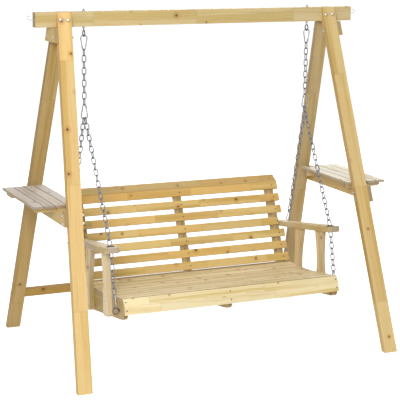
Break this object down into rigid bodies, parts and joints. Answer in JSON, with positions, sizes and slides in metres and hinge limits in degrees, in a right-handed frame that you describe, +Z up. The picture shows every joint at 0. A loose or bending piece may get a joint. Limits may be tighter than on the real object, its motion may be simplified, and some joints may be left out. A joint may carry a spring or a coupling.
{
  "type": "porch swing",
  "caption": "Wooden porch swing: a slatted two-seat bench on steel chains, hung from the beam of a splayed A-frame stand that has a slatted tray on each side.",
  "frame": {"origin": "on the ground, below the middle of the beam", "axes": "+X along the beam to the right as seen from the front, +Y to the rear, +Z up; the seat faces -Y"},
  "size_m": [1.932, 1.2014, 1.744],
  "materials": {
    "stand_timber": "planed softwood with knots, oiled, satin",
    "orange_timber": "planed softwood of a warmer tone, satin",
    "bench_timber": "planed softwood with knots, satin",
    "slat_timber": "planed softwood slats with finger joints, satin",
    "weathered_timber": "planed softwood slats, paler, satin",
    "chain_steel": "galvanised, dull",
    "hook_steel": "zinc plated, bright",
    "fastener_steel": "zinc plated, dulled",
    "dark_steel": "dark coated plate"
  },
  "bodies": {
    "frame": {"beam": "stand_timber", "leg_front_left": "orange_timber", "leg_front_right": "stand_timber", "leg_rear_left": "stand_timber", "leg_rear_right": "stand_timber", "upper_cross_board_left": "stand_timber", "upper_cross_board_right": "stand_timber", "lower_cross_board_left": "stand_timber", "lower_cross_board_right": "stand_timber", "rear_stretcher": "stand_timber", "tray_slats_left": "weathered_timber", "tray_slats_right": "weathered_timber", "tray_bearers_left": "stand_timber", "tray_bearers_right": "stand_timber", "beam_end_hooks": "hook_steel", "beam_eye_bolts": "hook_steel", "frame_bolts": "fastener_steel", "frame_washers": "fastener_steel", "frame_nuts": "fastener_steel", "tray_screws": "fastener_steel"},
    "hanger": {"upper_snap_hook_left": "hook_steel", "upper_snap_hook_right": "hook_steel", "upper_chain_left": "chain_steel", "upper_chain_right": "chain_steel", "joint_snap_hook_left": "hook_steel", "joint_snap_hook_right": "hook_steel"},
    "bench": {"front_chain_left": "chain_steel", "front_chain_right": "chain_steel", "rear_chain_left": "chain_steel", "rear_chain_right": "chain_steel", "front_snap_hook_left": "hook_steel", "front_snap_hook_right": "hook_steel", "rear_snap_hook_left": "hook_steel", "rear_snap_hook_right": "hook_steel", "seat_board_left": "bench_timber", "seat_board_middle": "bench_timber", "seat_board_right": "bench_timber", "back_support_left": "bench_timber", "back_support_middle": "bench_timber", "back_support_right": "bench_timber", "seat_slats": "slat_timber", "front_apron": "slat_timber", "back_slats": "slat_timber", "arm_left": "bench_timber", "arm_right": "bench_timber", "arm_posts_left": "bench_timber", "arm_posts_right": "bench_timber", "arm_plates": "dark_steel", "bench_eye_bolts": "hook_steel", "bench_bolts": "fastener_steel", "bench_nuts": "fastener_steel", "bench_screws": "fastener_steel"},
    "upper_gate_left": {"upper_gate_left": "hook_steel"},
    "upper_gate_right": {"upper_gate_right": "hook_steel"},
    "joint_gate_left": {"joint_gate_left": "hook_steel"},
    "joint_gate_right": {"joint_gate_right": "hook_steel"},
    "front_gate_left": {"front_gate_left": "hook_steel"},
    "front_gate_right": {"front_gate_right": "hook_steel"},
    "rear_gate_left": {"rear_gate_left": "hook_steel"},
    "rear_gate_right": {"rear_gate_right": "hook_steel"}
  },
  "joints": [
    {"name": "swing", "type": "hinge", "parent": "frame", "child": "hanger", "pos_m": [0, 0, 1.6153], "axis": [1, 0, 0], "range_deg": [-20, 20]},
    {"name": "bench_rocking", "type": "hinge", "parent": "hanger", "child": "bench", "pos_m": [0, 0, 1.20346], "axis": [1, 0, 0], "range_deg": [-8, 8]},
    {"name": "upper_gate_left_spring", "type": "hinge", "parent": "hanger", "child": "upper_gate_left", "pos_m": [-0.6254, 0, 1.56004], "axis": [0, 1, 0], "range_deg": [0, 25], "stiffness_Nm_per_rad": 0.2, "springref_deg": -28.65},
    {"name": "upper_gate_right_spring", "type": "hinge", "parent": "hanger", "child": "upper_gate_right", "pos_m": [0.6254, 0, 1.56004], "axis": [0, -1, 0], "range_deg": [0, 25], "stiffness_Nm_per_rad": 0.2, "springref_deg": -28.65},
    {"name": "joint_gate_left_spring", "type": "hinge", "parent": "hanger", "child": "joint_gate_left", "pos_m": [-0.6066, 0, 1.25816], "axis": [0, 1, 0], "range_deg": [0, 25], "stiffness_Nm_per_rad": 0.2, "springref_deg": -28.65},
    {"name": "joint_gate_right_spring", "type": "hinge", "parent": "hanger", "child": "joint_gate_right", "pos_m": [0.6066, 0, 1.25816], "axis": [0, -1, 0], "range_deg": [0, 25], "stiffness_Nm_per_rad": 0.2, "springref_deg": -28.65},
    {"name": "front_gate_left_spring", "type": "hinge", "parent": "bench", "child": "front_gate_left", "pos_m": [-0.604, -0.37263, 0.38462], "axis": [-1, 0, 0], "range_deg": [0, 25], "stiffness_Nm_per_rad": 0.2, "springref_deg": -28.65},
    {"name": "front_gate_right_spring", "type": "hinge", "parent": "bench", "child": "front_gate_right", "pos_m": [0.604, -0.37263, 0.38462], "axis": [-1, 0, 0], "range_deg": [0, 25], "stiffness_Nm_per_rad": 0.2, "springref_deg": -28.65},
    {"name": "rear_gate_left_spring", "type": "hinge", "parent": "bench", "child": "rear_gate_left", "pos_m": [-0.6291, 0.17992, 0.60016], "axis": [-0.9999, -0.0038, 0.0135], "range_deg": [0, 25], "stiffness_Nm_per_rad": 0.2, "springref_deg": -28.65},
    {"name": "rear_gate_right_spring", "type": "hinge", "parent": "bench", "child": "rear_gate_right", "pos_m": [0.6291, 0.17992, 0.60016], "axis": [-0.9999, 0.0038, -0.0135], "range_deg": [0, 25], "stiffness_Nm_per_rad": 0.2, "springref_deg": -28.65}
  ]
}
